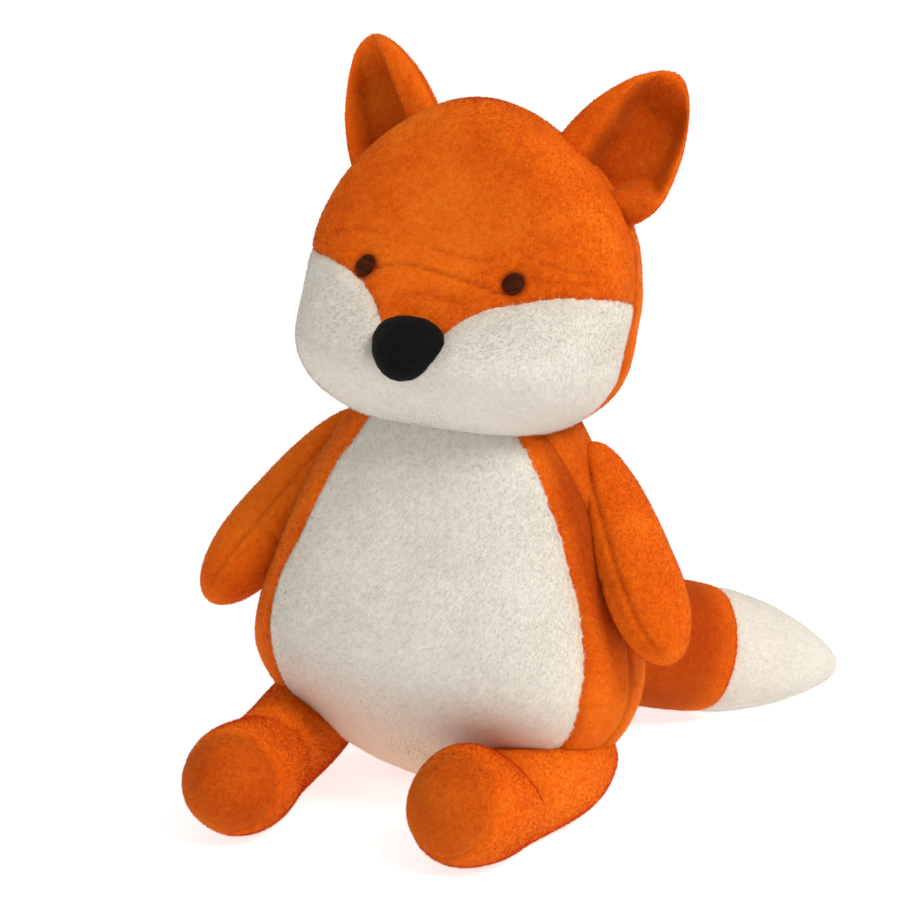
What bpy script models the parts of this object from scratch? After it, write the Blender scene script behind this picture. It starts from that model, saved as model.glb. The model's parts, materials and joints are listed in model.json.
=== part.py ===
"""Seated plush fox, sewn from pile fabric over soft filling.

Metres, +Z up. The fox faces -Y and sits on the plane Z = 0, and its left side is +X.
Each stuffed form is a sphere primitive that swells and tapers to its own rows of shares.
Solidify gives it the thickness of the fabric, and seam cutters part it into its panels.
The filling is the same form, drawn in by the fabric. Limbs are cut where they meet the body.
"""

import math

import bmesh
import bpy
from mathutils import Matrix, Vector

# Fabric and seams
FABRIC = 0.0024
VELOUR = 0.0014
SEAM_GAP = 0.0003
CUTTER_REACH = 0.5
FLOOR_Z = 0.0
SEAT_Y = 0.0205

# Body: an egg that leans back, sitting on its rear underside
BODY_HEIGHT = 0.228
BODY_HALF_WIDTH = 0.106
BODY_FRONT_DEPTH = 0.068
BODY_BACK_DEPTH = 0.078
BODY_BASE_Z = 0.0070
BODY_BASE_Y = -0.010
BODY_LEAN = 0.028
BODY_ROW_SHARES = (
    # along, side, front, back, lean
    (0.00, 0.98, 0.97, 0.97, 0.00),
    (0.28, 1.00, 1.00, 1.00, 0.07),
    (0.64, 0.80, 0.80, 0.80, 0.50),
    (1.00, 0.60, 0.62, 0.62, 1.00),
)
BODY_ROUNDNESS = (3.2, 2.6, 2.35, 2.1)
BELLY_RISE_SHARE = 0.60
BODY_SEAM_Y = -0.006
NECK_Z = 0.195
PELLET_BAG_TOP_Z = 0.030
TUMMY_OUTLINE_SHARES = (
    # half width, height: from the neck down the left edge to the underside
    (0.36, 1.05), (0.41, 0.980), (0.48, 0.932), (0.54, 0.885), (0.605, 0.828), (0.675, 0.740),
    (0.735, 0.668), (0.785, 0.605), (0.82, 0.530), (0.83, 0.460), (0.825, 0.390), (0.79, 0.315),
    (0.73, 0.250), (0.64, 0.180), (0.52, 0.090), (0.42, -0.050),
)

# Head: wide cheeks, a face that slopes back above the muzzle, and a domed crown
HEAD_HEIGHT = 0.169
HEAD_HALF_WIDTH = 0.0888
HEAD_FRONT_DEPTH = 0.082
HEAD_BACK_DEPTH = 0.064
HEAD_BASE_Z = 0.185
HEAD_CENTRE_Y = 0.0215
HEAD_ROW_SHARES = (
    # along, side, front, back, lean
    (0.00, 1.247, 0.94, 0.70, 0.0),
    (0.30, 1.000, 1.00, 0.93, 0.0),
    (0.45, 0.980, 0.63, 0.98, 0.0),
    (0.60, 0.950, 0.42, 1.00, 0.0),
    (0.80, 0.830, 0.36, 0.98, 0.0),
    (1.00, 0.670, 0.34, 0.95, 0.0),
)
HEAD_ROUNDNESS = (2.4, 2.4, 2.8, 2.15)
HEAD_SEAM_Y = 0.023
HEAD_SEAM_Z = 0.235
HEAD_SEAM_TILT = math.radians(13.0)
FOREHEAD_EDGE_SHARES = (
    # half width, height above the head's base: from the middle of the nose to the side seam
    (0.00, 0.345), (0.10, 0.360), (0.20, 0.395), (0.30, 0.435), (0.40, 0.465), (0.56, 0.486),
    (0.75, 0.494), (0.86, 0.486), (0.92, 0.464), (0.97, 0.420), (1.20, 0.300),
)

# Nose and eyes
NOSE_HALF_WIDTH = 0.0182
NOSE_HALF_HEIGHT = 0.0168
NOSE_DEPTH = 0.0125
NOSE_Z = 0.2445
NOSE_TAPER_SHARE = 0.30
EYE_RADIUS = 0.0060
EYE_THICKNESS = 0.0034
EYE_SPREAD = 0.041
EYE_Z = 0.2745

# Ears: two padded leaves, sewn into the head's side seam and cupped forwards
EAR_HALF_WIDTH = 0.0305
EAR_LEAF = 0.0052
EAR_CUP = 0.011
EAR_GAP = 0.0006
EAR_ROOT_LEFT = (0.0500, 0.043, 0.290)
EAR_TIP_LEFT = (0.0885, 0.066, 0.367)
EAR_ROOT_RIGHT = (-0.0375, 0.043, 0.290)
EAR_TIP_RIGHT = (-0.0845, 0.066, 0.3715)
EAR_ROW_SHARES = (
    # along, side, front, back, lean
    (0.00, 0.72, 0.90, 0.90, 0.0),
    (0.30, 1.00, 1.00, 1.00, 0.0),
    (0.60, 0.90, 0.98, 0.98, 0.0),
    (0.82, 0.66, 0.92, 0.92, 0.0),
    (1.00, 0.46, 0.80, 0.80, 0.0),
)
EAR_ROUNDNESS = (2.6, 2.0, 2.0, 2.0)
EAR_FACING = (0.05, -0.96, 0.27)
EAR_HINGE_RISE = 0.032
EAR_HINGE_FRONT = 0.014

# Arms: thin at the shoulder and full at the hand
ARM_TOP = (0.0645, 0.0235, 0.1870)
ARM_END_LEFT = (0.1290, -0.0190, 0.0950)
ARM_END_RIGHT = (0.1340, -0.0190, 0.0860)
ARM_RADIUS = 0.0210
ARM_ROW_SHARES = (
    # along, side, inner, outer, lean
    (0.00, 0.74, 0.70, 0.70, 0.0),
    (0.45, 0.94, 0.86, 0.86, 0.0),
    (0.80, 1.12, 1.00, 1.00, 0.0),
    (1.00, 1.12, 1.06, 1.06, 0.0),
)
ARM_ROUNDNESS = (2.8, 2.4, 2.0, 2.0)
SHOULDER_X = 0.086
SHOULDER_Z = 0.140
SHOULDER_SLOPE = math.radians(21.5)

# Legs: they lie forwards on the floor and end in an upright round foot
LEG_HIP_LEFT = (0.070, 0.026, 0.0275)
LEG_FOOT_LEFT = (0.049, -0.116, 0.0295)
LEG_HIP_RIGHT = (-0.068, 0.026, 0.0280)
LEG_FOOT_RIGHT = (-0.064, -0.137, 0.0290)
LEG_RADIUS = 0.0292
LEG_ROW_SHARES = (
    # along, side, under, over, lean
    (0.00, 0.98, 0.95, 0.80, 0.0),
    (0.30, 1.00, 0.98, 0.78, 0.0),
    (0.54, 0.90, 1.00, 0.66, 0.0),
    (0.74, 1.04, 1.02, 1.02, 0.0),
    (1.00, 1.04, 1.02, 1.12, 0.0),
)
LEG_ROUNDNESS = (2.8, 5.0, 2.0, 2.0)
SOLE_DEPTH = 0.0130
HIP_Y = 0.038
HIP_SLOPE = math.radians(30.0)
HIP_INNER_X = 0.031
HIP_OUTER_X = 0.130

# Tail: thick in the middle, lying on the floor behind the body and turned to the left
TAIL_ROOT = (-0.0185, 0.0600, 0.0705)
TAIL_END = (0.1176, 0.2238, 0.0150)
TAIL_RADIUS = 0.0350
TAIL_ROW_SHARES = (
    # along, side, under, over, lean
    (0.00, 0.72, 0.72, 0.72, 0.0),
    (0.22, 0.84, 0.84, 0.84, 0.0),
    (0.46, 1.00, 1.00, 1.00, 0.0),
    (0.75, 0.98, 0.96, 0.98, 0.0),
    (1.00, 0.76, 0.70, 0.76, 0.0),
)
TAIL_ROUNDNESS = (4.0, 2.2, 2.0, 2.0)
TAIL_TIP_SHARE = 0.63
TAIL_SEAT_Y = 0.0690
TAIL_HINGE_X = -0.060

# Facets around and along each form
HEAD_FACETS = (24, 13)
BODY_FACETS = (24, 14)
ARM_FACETS = (12, 9)
LEG_FACETS = (14, 11)
TAIL_FACETS = (14, 10)
EAR_FACETS = (12, 7)
NOSE_FACETS = (14, 6)
EYE_FACETS = (12, 4)

# Finishes: colour, roughness
ORANGE_PILE = ((0.80, 0.165, 0.012, 1.0), 0.92)
WHITE_PILE = ((0.87, 0.83, 0.76, 1.0), 0.94)
NOSE_VELOUR = ((0.010, 0.009, 0.008, 1.0), 0.85)
EYE_THREAD = ((0.050, 0.012, 0.005, 1.0), 0.60)
FIBRE_FILL = ((0.86, 0.86, 0.84, 1.0), 0.95)
BAG_CLOTH = ((0.60, 0.57, 0.50, 1.0), 0.90)


def clear_scene():
    for item in list(bpy.data.objects):
        bpy.data.objects.remove(item, do_unlink=True)


def collection(name):
    made = bpy.data.collections.new(name)
    bpy.context.scene.collection.children.link(made)
    return made


def material(name, finish):
    """A plain fabric finish from its colour and roughness."""
    colour, roughness = finish
    made = bpy.data.materials.new(name)
    made.use_nodes = True
    shader = made.node_tree.nodes["Principled BSDF"]
    shader.inputs["Base Color"].default_value = colour
    shader.inputs["Roughness"].default_value = roughness
    shader.inputs["Metallic"].default_value = 0.0
    return made


def row_at(rows, share):
    """The row of shares at a share of the length, on a smooth curve through the rows given."""
    last = len(rows) - 1
    index = min(max(sum(1 for row in rows if row[0] <= share) - 1, 0), last - 1)
    start, end = rows[index], rows[index + 1]
    before, after = rows[max(index - 1, 0)], rows[min(index + 2, last)]
    step = end[0] - start[0]
    t = (share - start[0]) / step
    values = []
    for column in range(1, len(start)):
        leave = (end[column] - before[column]) / (end[0] - before[0]) * step
        reach = (after[column] - start[column]) / (after[0] - start[0]) * step
        values.append(
            (2 * t**3 - 3 * t**2 + 1) * start[column]
            + (t**3 - 2 * t**2 + t) * leave
            + (3 * t**2 - 2 * t**3) * end[column]
            + (t**3 - t**2) * reach
        )
    return values


def power(value, exponent):
    return math.copysign(abs(value) ** exponent, value)


def swell(form, along_share, turn_x, turn_y, inset=0.0):
    """A point of a form: side, along and up, from its share of the length and its unit turn."""
    side_share, low_share, high_share, lean_share = row_at(form["rows"], along_share)
    start_power, end_power, low_square, high_square = form["roundness"]
    squareness = high_square if turn_y > 0.0 else low_square
    reach = 2.0 * along_share - 1.0
    exponent = start_power if reach < 0.0 else end_power
    envelope = math.sqrt(max(1.0 - abs(reach) ** exponent, 0.0))
    across = power(turn_x, 2.0 / squareness)
    upward = power(turn_y, 2.0 / squareness)
    depth = form["high"] * high_share if upward > 0.0 else form["low"] * low_share
    depth = max(depth - inset, 0.0)
    side = (form["side"] * side_share - inset) * envelope * across
    up = depth * envelope * upward + form.get("lean", 0.0) * lean_share
    along = inset + (form["length"] - 2.0 * inset) * along_share
    if "rise_share" in form:
        along -= form["rise_share"] * depth * envelope * upward * (1.0 - along_share) ** 3
    return Vector((side, along, up + form.get("cup", 0.0) * (side / form["side"]) ** 2))


def frame_from(start, end, up_hint):
    """A frame at start whose second axis runs to end and whose third lies nearest to up_hint."""
    along = (Vector(end) - Vector(start)).normalized()
    up = Vector(up_hint) - along * along.dot(Vector(up_hint))
    up.normalize()
    side = along.cross(up)
    turn = Matrix((side, along, up)).transposed().to_4x4()
    return Matrix.Translation(Vector(start)) @ turn


def limb(start, end, up_hint, radius, rows, roundness, presses):
    return {
        "frame": frame_from(start, end, up_hint),
        "length": (Vector(end) - Vector(start)).length,
        "side": radius,
        "low": radius,
        "high": radius,
        "rows": rows,
        "roundness": roundness,
        "presses": presses,
    }


def plane(point, normal):
    """A plane that nothing of a form passes in the direction of its normal."""
    return (Vector(point), Vector(normal).normalized())


def floor_plane():
    return plane((0.0, 0.0, FLOOR_Z), (0.0, 0.0, -1.0))


def shoulder_normal(side):
    return (side * math.cos(SHOULDER_SLOPE), 0.0, math.sin(SHOULDER_SLOPE))


def shoulder_point(side):
    return (side * SHOULDER_X, 0.0, SHOULDER_Z)


def body_form():
    base = (0.0, BODY_BASE_Y, BODY_BASE_Z)
    top = (0.0, BODY_BASE_Y, BODY_BASE_Z + BODY_HEIGHT)
    form = limb(base, top, (0.0, 1.0, 0.0), BODY_HALF_WIDTH, BODY_ROW_SHARES, BODY_ROUNDNESS, ())
    form["low"] = BODY_FRONT_DEPTH
    form["high"] = BODY_BACK_DEPTH
    form["lean"] = BODY_LEAN
    form["rise_share"] = BELLY_RISE_SHARE
    form["presses"] = (
        floor_plane(),
        plane((0.0, 0.0, NECK_Z), (0.0, 0.0, 1.0)),
        plane((0.0, TAIL_SEAT_Y, 0.0), (0.0, 1.0, 0.0)),
        plane(shoulder_point(1.0), shoulder_normal(1.0)),
        plane(shoulder_point(-1.0), shoulder_normal(-1.0)),
    )
    return form


def head_form():
    base = (0.0, HEAD_CENTRE_Y, HEAD_BASE_Z)
    top = (0.0, HEAD_CENTRE_Y, HEAD_BASE_Z + HEAD_HEIGHT)
    form = limb(base, top, (0.0, 1.0, 0.0), HEAD_HALF_WIDTH, HEAD_ROW_SHARES, HEAD_ROUNDNESS, ())
    form["low"] = HEAD_FRONT_DEPTH
    form["high"] = HEAD_BACK_DEPTH
    form["presses"] = (plane((0.0, 0.0, NECK_Z + SEAM_GAP), (0.0, 0.0, -1.0)),)
    return form


def mirrored(point, side):
    return (point[0] * side, point[1], point[2])


def form_mesh(name, form, facets, inset=0.0):
    """A sphere primitive drawn to the form's shape and pressed flat on its planes."""
    mesh = bpy.data.meshes.new(name)
    work = bmesh.new()
    bmesh.ops.create_uvsphere(work, u_segments=facets[0], v_segments=facets[1], radius=1.0)
    bmesh.ops.triangulate(work, faces=work.faces, quad_method="FIXED")
    frame = form["frame"]
    back = frame.inverted()
    for vertex in work.verts:
        x, y, z = vertex.co
        ring = math.hypot(x, y)
        turn = (x / ring, y / ring) if ring > 1e-5 else (0.0, 0.0)
        world = frame @ swell(form, min(max((1.0 + z) / 2.0, 0.0), 1.0), *turn, inset)
        for point, normal in form["presses"]:
            beyond = (world - point).dot(normal) + inset
            if beyond > 0.0:
                world -= normal * beyond
        vertex.co = back @ world
    work.normal_update()
    bmesh.ops.recalc_face_normals(work, faces=work.faces)
    work.to_mesh(mesh)
    work.free()
    mesh.shade_smooth()
    mesh.set_sharp_from_angle(angle=math.radians(50.0))
    return mesh


class Maker:
    """Holds the two collections, the seat and the finishes, and makes nodes and cutters."""

    def __init__(self):
        self.parts = collection("plush_fox")
        self.tools = collection("seam_cutters")
        self.finishes = {}
        self.seat = bpy.data.objects.new("seat", None)
        self.parts.objects.link(self.seat)

    def finish(self, name, values):
        if name not in self.finishes:
            self.finishes[name] = material(name, values)
        return self.finishes[name]

    def pivot(self, name, place, parent=None):
        """An empty on a joint's axis, which carries the pieces that turn about it."""
        empty = bpy.data.objects.new(name, None)
        self.parts.objects.link(empty)
        empty.parent = parent or self.seat
        empty.location = Vector(place) - empty.parent.matrix_world.translation
        bpy.context.view_layer.update()
        return empty

    def node(self, name, mesh, frame, pivot, finish_name, finish):
        piece = bpy.data.objects.new(name, mesh)
        self.parts.objects.link(piece)
        piece.parent = pivot
        place, turn, _ = (Matrix.Translation(-pivot.matrix_world.translation) @ frame).decompose()
        piece.location = place
        piece.rotation_euler = turn.to_euler()
        mesh.materials.append(self.finish(finish_name, finish))
        return piece

    def cutter(self, name, mesh, frame):
        tool = bpy.data.objects.new(name, mesh)
        self.tools.objects.link(tool)
        tool.parent = self.seat
        place, turn, _ = frame.decompose()
        tool.location = place
        tool.rotation_euler = turn.to_euler()
        tool.hide_render = True
        tool.display_type = "WIRE"
        return tool

    def hollow(self, name, form, facets):
        """The space inside a form's cover, which is one thickness of fabric smaller."""
        return self.cutter(name, form_mesh(name, form, facets, FABRIC), form["frame"])

    def half_space(self, name, point, normal, half_width=CUTTER_REACH):
        """A cube whose one face holds the point, on the side that the normal points to."""
        mesh = bpy.data.meshes.new(name)
        work = bmesh.new()
        bmesh.ops.create_cube(work, size=2.0)
        bmesh.ops.translate(work, verts=work.verts, vec=(0.0, 0.0, 1.0))
        bmesh.ops.scale(work, verts=work.verts, vec=(half_width, CUTTER_REACH, CUTTER_REACH))
        work.to_mesh(mesh)
        work.free()
        turn = Vector(normal).to_track_quat("Z", "Y").to_matrix().to_4x4()
        return self.cutter(name, mesh, Matrix.Translation(Vector(point)) @ turn)

    def prism(self, name, outline, near_y, far_y):
        """A flat outline in X and Z, extruded from near_y to far_y."""
        mesh = bpy.data.meshes.new(name)
        work = bmesh.new()
        face = work.faces.new([work.verts.new((x, near_y, z)) for x, z in outline])
        grown = bmesh.ops.extrude_face_region(work, geom=[face])["geom"]
        moved = [item for item in grown if isinstance(item, bmesh.types.BMVert)]
        bmesh.ops.translate(work, verts=moved, vec=(0.0, far_y - near_y, 0.0))
        bmesh.ops.recalc_face_normals(work, faces=work.faces)
        work.to_mesh(mesh)
        work.free()
        return self.cutter(name, mesh, Matrix.Identity(4))


def cut(piece, tool, operation="DIFFERENCE"):
    seam = piece.modifiers.new("seam", "BOOLEAN")
    seam.operation = operation
    seam.solver = "EXACT"
    seam.object = tool


def surface_y(form, x, z):
    """Y of an upright form's front at a given X and Z."""
    along_share = (z - form["frame"].translation.z) / form["length"]
    full = swell(form, along_share, 1.0, 0.0).x
    across = power(x / full, form["roundness"][2] / 2.0)
    across = min(max(across, -1.0), 1.0)
    point = swell(form, along_share, across, -math.sqrt(1.0 - across * across))
    return (form["frame"] @ point).y


def surface_frame(form, x, z, step):
    """A frame on an upright form's front: its third axis is the outward normal there."""
    centre = Vector((x, surface_y(form, x, z), z))
    sideways = Vector((x + step, surface_y(form, x + step, z), z)) - centre
    upwards = Vector((x, surface_y(form, x, z + step), z + step)) - centre
    normal = sideways.cross(upwards).normalized()
    if normal.y > 0.0:
        normal.negate()
    side = Vector((1.0, 0.0, 0.0))
    side = (side - normal * normal.dot(side)).normalized()
    turn = Matrix((side, normal.cross(side), normal)).transposed().to_4x4()
    return Matrix.Translation(centre) @ turn


def make_body(make, torso):
    """Tummy, two side panels and a back panel, over fibre filling and a bag of pellets."""
    form = body_form()
    frame = form["frame"]
    half_gap = SEAM_GAP / 2.0
    behind = make.half_space("behind_side_seam", (0.0, BODY_SEAM_Y - half_gap, 0.0), (0.0, 1.0, 0.0))
    before = make.half_space("before_side_seam", (0.0, BODY_SEAM_Y + half_gap, 0.0), (0.0, -1.0, 0.0))
    hip_normal = (0.0, -math.sin(HIP_SLOPE), -math.cos(HIP_SLOPE))
    half_width = (HIP_OUTER_X - HIP_INNER_X) / 2.0
    hips = [
        make.half_space(name, (side * (HIP_INNER_X + half_width), HIP_Y, 0.0), hip_normal, half_width)
        for side, name in ((1.0, "left_hip_space"), (-1.0, "right_hip_space"))
    ]

    def tummy_outline(grown):
        half = [(x * BODY_HALF_WIDTH + grown, z * NECK_Z) for x, z in TUMMY_OUTLINE_SHARES]
        return half + [(-x, z) for x, z in reversed(half)]

    tummy_space = make.prism("tummy_space", tummy_outline(0.0), -CUTTER_REACH, CUTTER_REACH)
    tummy_hole = make.prism("tummy_hole", tummy_outline(SEAM_GAP), -CUTTER_REACH, CUTTER_REACH)

    hollow = make.hollow("body_hollow", form, BODY_FACETS)

    def panel(name, finish_name, finish):
        mesh = form_mesh(name, form, BODY_FACETS)
        piece = make.node(name, mesh, frame, torso, finish_name, finish)
        cut(piece, hollow)
        for hip in hips:
            cut(piece, hip)
        return piece

    tummy = panel("tummy_panel", "white_pile", WHITE_PILE)
    cut(tummy, behind)
    cut(tummy, tummy_space, "INTERSECT")
    back = panel("back_panel", "orange_pile", ORANGE_PILE)
    cut(back, before)
    for side, word in ((1.0, "left"), (-1.0, "right")):
        piece = panel("side_panel_" + word, "orange_pile", ORANGE_PILE)
        across = make.half_space("across_" + word, (side * half_gap, 0.0, 0.0), (-side, 0.0, 0.0))
        cut(piece, behind)
        cut(piece, across)
        cut(piece, tummy_hole)

    inset = FABRIC + SEAM_GAP
    bag_top = make.half_space("above_bag", (0.0, 0.0, PELLET_BAG_TOP_Z - SEAM_GAP), (0.0, 0.0, 1.0))
    bag_space = make.half_space("below_fill", (0.0, 0.0, PELLET_BAG_TOP_Z), (0.0, 0.0, -1.0))
    mesh = form_mesh("body_stuffing", form, BODY_FACETS, inset)
    fill = make.node("body_stuffing", mesh, frame, torso, "fibre_fill", FIBRE_FILL)
    mesh = form_mesh("pellet_bag", form, BODY_FACETS, inset)
    bag = make.node("pellet_bag", mesh, frame, torso, "bag_cloth", BAG_CLOTH)
    for hip in hips:
        cut(fill, hip)
        cut(bag, hip)
    cut(fill, bag_space)
    cut(bag, bag_top)


def make_head(make, head):
    """Forehead, muzzle and back panels over fibre filling, with the nose and the eyes."""
    form = head_form()
    frame = form["frame"]
    half_gap = SEAM_GAP / 2.0
    seam_normal = Vector((0.0, math.cos(HEAD_SEAM_TILT), -math.sin(HEAD_SEAM_TILT)))
    seam_point = Vector((0.0, HEAD_SEAM_Y, HEAD_SEAM_Z))
    behind = make.half_space("behind_face_seam", seam_point - seam_normal * half_gap, seam_normal)
    before = make.half_space("before_face_seam", seam_point + seam_normal * half_gap, -seam_normal)

    def face_outline(lift, top):
        half = [
            (x * HEAD_HALF_WIDTH, HEAD_BASE_Z + z * HEAD_HEIGHT + lift)
            for x, z in FOREHEAD_EDGE_SHARES
        ]
        edge = [(-x, z) for x, z in reversed(half)] + half[1:]
        return edge + [(edge[-1][0], top), (edge[0][0], top)]

    head_top = HEAD_BASE_Z + 2.0 * HEAD_HEIGHT
    head_low = HEAD_BASE_Z - HEAD_HEIGHT
    high_outline = face_outline(half_gap, head_top)
    low_outline = face_outline(-half_gap, head_low)
    forehead_space = make.prism("forehead_space", high_outline, -CUTTER_REACH, CUTTER_REACH)
    muzzle_space = make.prism("muzzle_space", low_outline, -CUTTER_REACH, CUTTER_REACH)

    hollow = make.hollow("head_hollow", form, HEAD_FACETS)

    def panel(name, finish_name, finish):
        mesh = form_mesh(name, form, HEAD_FACETS)
        piece = make.node(name, mesh, frame, head, finish_name, finish)
        cut(piece, hollow)
        return piece

    forehead = panel("forehead_panel", "orange_pile", ORANGE_PILE)
    cut(forehead, behind)
    cut(forehead, forehead_space, "INTERSECT")
    muzzle = panel("muzzle_panel", "white_pile", WHITE_PILE)
    cut(muzzle, behind)
    cut(muzzle, muzzle_space, "INTERSECT")
    back = panel("head_back_panel", "orange_pile", ORANGE_PILE)
    cut(back, before)

    mesh = form_mesh("head_stuffing", form, HEAD_FACETS, FABRIC + SEAM_GAP)
    make.node("head_stuffing", mesh, frame, head, "fibre_fill", FIBRE_FILL)

    mesh = form_mesh("head_space", form, HEAD_FACETS, -SEAM_GAP)
    head_space = make.cutter("head_space", mesh, frame)
    make_nose(make, head, form, head_space)
    make_eyes(make, head, form, head_space)
    return head_space


def nose_mesh(name, inset):
    """A flattened ball, broad at the top and narrow at the bottom."""
    mesh = bpy.data.meshes.new(name)
    work = bmesh.new()
    bmesh.ops.create_uvsphere(work, u_segments=NOSE_FACETS[0], v_segments=NOSE_FACETS[1], radius=1.0)
    bmesh.ops.triangulate(work, faces=work.faces, quad_method="FIXED")
    for vertex in work.verts:
        x, y, z = vertex.co
        width = (NOSE_HALF_WIDTH - inset) * (1.0 + NOSE_TAPER_SHARE * y)
        vertex.co = (x * width, y * (NOSE_HALF_HEIGHT - inset), z * (NOSE_DEPTH - inset))
    work.to_mesh(mesh)
    work.free()
    mesh.shade_smooth()
    return mesh


def make_nose(make, head, form, head_space):
    frame = surface_frame(form, 0.0, NOSE_Z, EYE_RADIUS)
    cover = make.node("nose_cover", nose_mesh("nose_cover", 0.0), frame, head, "nose_velour", NOSE_VELOUR)
    cut(cover, make.cutter("nose_hollow", nose_mesh("nose_hollow", VELOUR), frame))
    cut(cover, head_space)
    inset = VELOUR + SEAM_GAP
    fill = make.node("nose_stuffing", nose_mesh("nose_stuffing", inset), frame, head, "fibre_fill", FIBRE_FILL)
    cut(fill, head_space)


def make_eyes(make, head, form, head_space):
    for side, word in ((1.0, "left"), (-1.0, "right")):
        name = "eye_" + word
        mesh = bpy.data.meshes.new(name)
        work = bmesh.new()
        bmesh.ops.create_uvsphere(work, u_segments=EYE_FACETS[0], v_segments=EYE_FACETS[1], radius=1.0)
        bmesh.ops.scale(work, verts=work.verts, vec=(EYE_RADIUS, EYE_RADIUS, EYE_THICKNESS))
        work.to_mesh(mesh)
        work.free()
        mesh.shade_smooth()
        frame = surface_frame(form, side * EYE_SPREAD, EYE_Z, EYE_RADIUS)
        piece = make.node(name, mesh, frame, head, "eye_thread", EYE_THREAD)
        cut(piece, head_space)


def make_ear(make, side, word, root, tip, head, head_space):
    """A front lining leaf and a back leaf, face to face, cut where they enter the head's seam."""
    facing = Vector(mirrored(EAR_FACING, side))
    form = limb(root, tip, -facing, EAR_HALF_WIDTH, EAR_ROW_SHARES, EAR_ROUNDNESS, ())
    form["cup"] = -EAR_CUP
    hinge = form["frame"] @ Vector((0.0, EAR_HINGE_RISE, -EAR_HINGE_FRONT))
    pivot = make.pivot("ear_pivot_" + word, hinge, head)
    for name, low, high, lift in (
        ("ear_lining_", EAR_LEAF, 0.0, -EAR_GAP / 2.0),
        ("ear_back_", 0.0, EAR_LEAF, EAR_GAP / 2.0),
    ):
        leaf = dict(form, low=low, high=high)
        leaf["frame"] = form["frame"] @ Matrix.Translation((0.0, 0.0, lift))
        mesh = form_mesh(name + word, leaf, EAR_FACETS)
        piece = make.node(name + word, mesh, leaf["frame"], pivot, "orange_pile", ORANGE_PILE)
        cut(piece, head_space)


def make_arm(make, side, word, end):
    """Outer and inner panels, seamed along the front and the back, over fibre filling."""
    top = mirrored(ARM_TOP, side)
    outwards = Vector(shoulder_normal(side))
    form = limb(top, end, outwards, ARM_RADIUS, ARM_ROW_SHARES, ARM_ROUNDNESS, ())
    frame = form["frame"]
    seat = Vector(shoulder_point(side)) + outwards * SEAM_GAP
    inside = make.half_space("inside_shoulder_" + word, seat, -outwards)
    out = frame.to_3x3().col[2]
    pivot = make.pivot("shoulder_pivot_" + word, top)
    half_gap = SEAM_GAP / 2.0
    hollow = make.hollow("arm_hollow_" + word, form, ARM_FACETS)
    for name, way in (("arm_outer_panel_", 1.0), ("arm_inner_panel_", -1.0)):
        mesh = form_mesh(name + word, form, ARM_FACETS)
        piece = make.node(name + word, mesh, frame, pivot, "orange_pile", ORANGE_PILE)
        cut(piece, hollow)
        tool_name = name.replace("panel", "seam") + word
        cut(piece, make.half_space(tool_name, Vector(top) + out * way * half_gap, -out * way))
        cut(piece, inside)
    mesh = form_mesh("arm_stuffing_" + word, form, ARM_FACETS, FABRIC + SEAM_GAP)
    fill = make.node("arm_stuffing_" + word, mesh, frame, pivot, "fibre_fill", FIBRE_FILL)
    cut(fill, inside)


def make_leg(make, word, hip, foot):
    """A leg cover and a round sole pad over fibre filling."""
    hip_normal = Vector((0.0, math.sin(HIP_SLOPE), math.cos(HIP_SLOPE)))
    seat = Vector((0.0, HIP_Y, 0.0)) - hip_normal * SEAM_GAP
    above = make.half_space("above_hip_" + word, seat, hip_normal)
    presses = (floor_plane(),)
    form = limb(hip, foot, (0.0, 0.0, 1.0), LEG_RADIUS, LEG_ROW_SHARES, LEG_ROUNDNESS, presses)
    frame = form["frame"]
    along = frame.to_3x3().col[1]
    pivot = make.pivot("hip_pivot_" + word, (hip[0], HIP_Y, 0.0))
    seam = Vector(foot) - along * SOLE_DEPTH
    half_gap = SEAM_GAP / 2.0
    beyond = make.half_space("beyond_sole_seam_" + word, seam - along * half_gap, along)
    behind = make.half_space("behind_sole_seam_" + word, seam + along * half_gap, -along)
    hollow = make.hollow("leg_hollow_" + word, form, LEG_FACETS)
    for name, tool in (("leg_cover_", beyond), ("sole_pad_", behind)):
        mesh = form_mesh(name + word, form, LEG_FACETS)
        piece = make.node(name + word, mesh, frame, pivot, "orange_pile", ORANGE_PILE)
        cut(piece, hollow)
        cut(piece, tool)
        cut(piece, above)
    mesh = form_mesh("leg_stuffing_" + word, form, LEG_FACETS, FABRIC + SEAM_GAP)
    fill = make.node("leg_stuffing_" + word, mesh, frame, pivot, "fibre_fill", FIBRE_FILL)
    cut(fill, above)


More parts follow.
